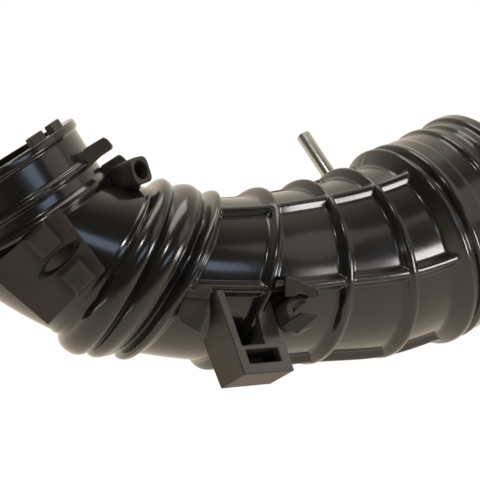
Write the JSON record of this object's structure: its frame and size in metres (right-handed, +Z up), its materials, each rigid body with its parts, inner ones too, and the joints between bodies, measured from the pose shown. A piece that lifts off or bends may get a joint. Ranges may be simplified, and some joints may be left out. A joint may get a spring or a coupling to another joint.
{
  "type": "air intake hose",
  "caption": "Moulded rubber engine air duct: clamp collar, elbow with bellows, ribbed body with bracket and clips, wide clamp cuff, and a steel breather pipe.",
  "frame": {"origin": "centre of the collar's mouth, in the plane of its end", "axes": "+Z up as the hose lies in the picture, +X from the collar end towards the cuff end, +Y away from the side with the pad and bracket"},
  "size_m": [0.2914, 0.1747, 0.1255],
  "materials": {
    "black_rubber": "satin moulded rubber",
    "zinc_steel": "zinc plated, dull bright"
  },
  "bodies": {
    "root": {"hose_elbow": "black_rubber", "hose_body": "black_rubber", "breather_pipe": "zinc_steel"}
  },
  "joints": []
}
